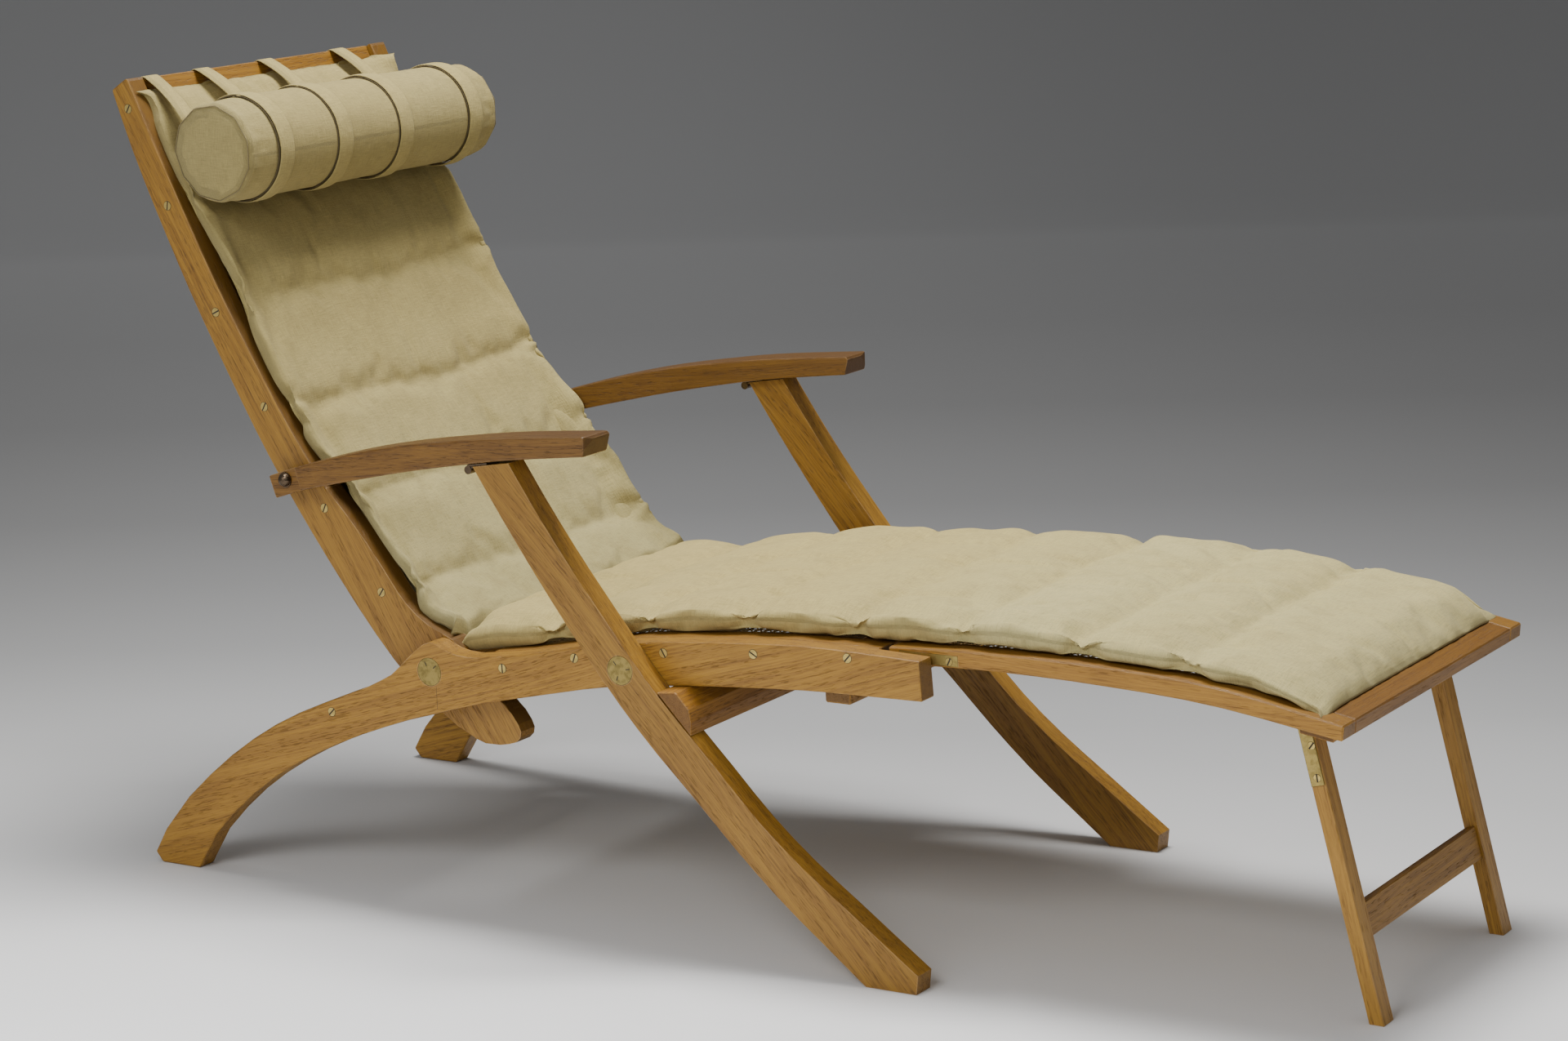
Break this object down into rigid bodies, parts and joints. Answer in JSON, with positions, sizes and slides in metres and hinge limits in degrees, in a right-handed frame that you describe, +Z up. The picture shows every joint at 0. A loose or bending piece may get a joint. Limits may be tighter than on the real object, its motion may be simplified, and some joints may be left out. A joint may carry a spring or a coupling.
{
  "type": "lounge chair",
  "caption": "Folding wooden deck lounge chair with caned back and seat, hinged footrest on folding legs, channelled canvas cushion and head bolster.",
  "frame": {"origin": "centre of the bounding box in plan, at floor level, with the chair open", "axes": "+X towards the foot end, +Y across the chair to the sitter's left, +Z up"},
  "size_m": [1.4987, 0.58, 0.9037],
  "materials": {
    "oak": "oiled golden brown oak, satin, with long grain streaks, fine dark pores and paler worn edges",
    "dark_oak": "darker reddish brown oak where hands have worn it, satin",
    "pale_oak": "paler oak, satin",
    "cane": "woven natural cane, matt",
    "brass": "aged, dull greenish brass with scratches",
    "bronze": "dark brown patinated bronze, smooth",
    "canvas": "plain woven beige canvas, matt, softly creased"
  },
  "bodies": {
    "seat": {"seat_rail_near": "oak", "seat_rail_far": "oak", "rear_cross_rail": "oak", "front_cross_rail": "oak", "seat_frame_side_near": "oak", "seat_frame_side_far": "oak", "seat_frame_front": "oak", "seat_frame_rear": "oak", "seat_cane": "cane", "pivot_disc_back_near": "brass", "pivot_disc_back_far": "brass", "pad_seat": "canvas"},
    "back": {"back_stile_near": "oak", "back_stile_far": "oak", "back_top_rail": "oak", "back_frame_side_near": "oak", "back_frame_side_far": "oak", "back_frame_top": "oak", "back_frame_bottom": "oak", "back_cane": "cane", "arm_stud_near": "bronze", "arm_stud_far": "bronze", "pad_back": "canvas", "bolster": "canvas", "bolster_strap_1": "canvas", "bolster_strap_2": "canvas", "bolster_strap_3": "canvas", "bolster_strap_4": "canvas"},
    "front_legs": {"front_leg_near": "oak", "front_leg_far": "oak", "leg_crossbar": "oak", "pivot_disc_leg_near": "brass", "pivot_disc_leg_far": "brass", "post_hinge_near": "brass", "post_hinge_far": "brass"},
    "arm_near": {"arm_near": "dark_oak", "arm_hinge_near": "brass"},
    "arm_far": {"arm_far": "dark_oak", "arm_hinge_far": "brass"},
    "footrest": {"footrest_side_near": "oak", "footrest_side_far": "oak", "footrest_front_rail": "dark_oak", "footrest_rear_rail": "oak", "footrest_cane": "cane", "footrest_pivot_plate_near": "brass", "footrest_pivot_plate_far": "brass", "footrest_stop_batten": "oak", "footleg_bracket_near": "brass", "footleg_bracket_far": "brass", "pad_leg": "canvas"},
    "footrest_legs": {"footleg_near": "pale_oak", "footleg_far": "pale_oak", "footleg_stretcher": "pale_oak", "leg_strap_near": "brass", "leg_strap_far": "brass"}
  },
  "joints": [
    {"name": "back_fold", "type": "hinge", "parent": "seat", "child": "back", "pos_m": [-0.32774, 0, 0.268], "axis": [0, 1, 0], "range_deg": [0, 99], "deforming": ["pad_back", "pad_seat"]},
    {"name": "leg_fold", "type": "hinge", "parent": "seat", "child": "front_legs", "pos_m": [-0.05674, 0, 0.304], "axis": [0, 1, 0], "range_deg": [0, 99]},
    {"name": "arm_near_turn", "type": "hinge", "parent": "front_legs", "child": "arm_near", "pos_m": [-0.24224, -0.276, 0.5035], "axis": [0, 1, 0], "range_deg": [-99, 0]},
    {"name": "arm_far_turn", "type": "hinge", "parent": "front_legs", "child": "arm_far", "pos_m": [-0.24224, 0.276, 0.5035], "axis": [0, 1, 0], "range_deg": [-99, 0]},
    {"name": "footrest_fold", "type": "hinge", "parent": "seat", "child": "footrest", "pos_m": [0.25976, 0, 0.337], "axis": [0, 1, 0], "range_deg": [-45, 40], "deforming": ["pad_leg"]},
    {"name": "footrest_leg_fold", "type": "hinge", "parent": "footrest", "child": "footrest_legs", "pos_m": [0.66576, 0, 0.299], "axis": [0, 1, 0], "range_deg": [0, 104]}
  ],
  "couplings": [
    {"joint": "leg_fold", "follows": "back_fold", "ratio": 1},
    {"joint": "arm_near_turn", "follows": "back_fold", "ratio": -1},
    {"joint": "arm_far_turn", "follows": "back_fold", "ratio": -1}
  ]
}
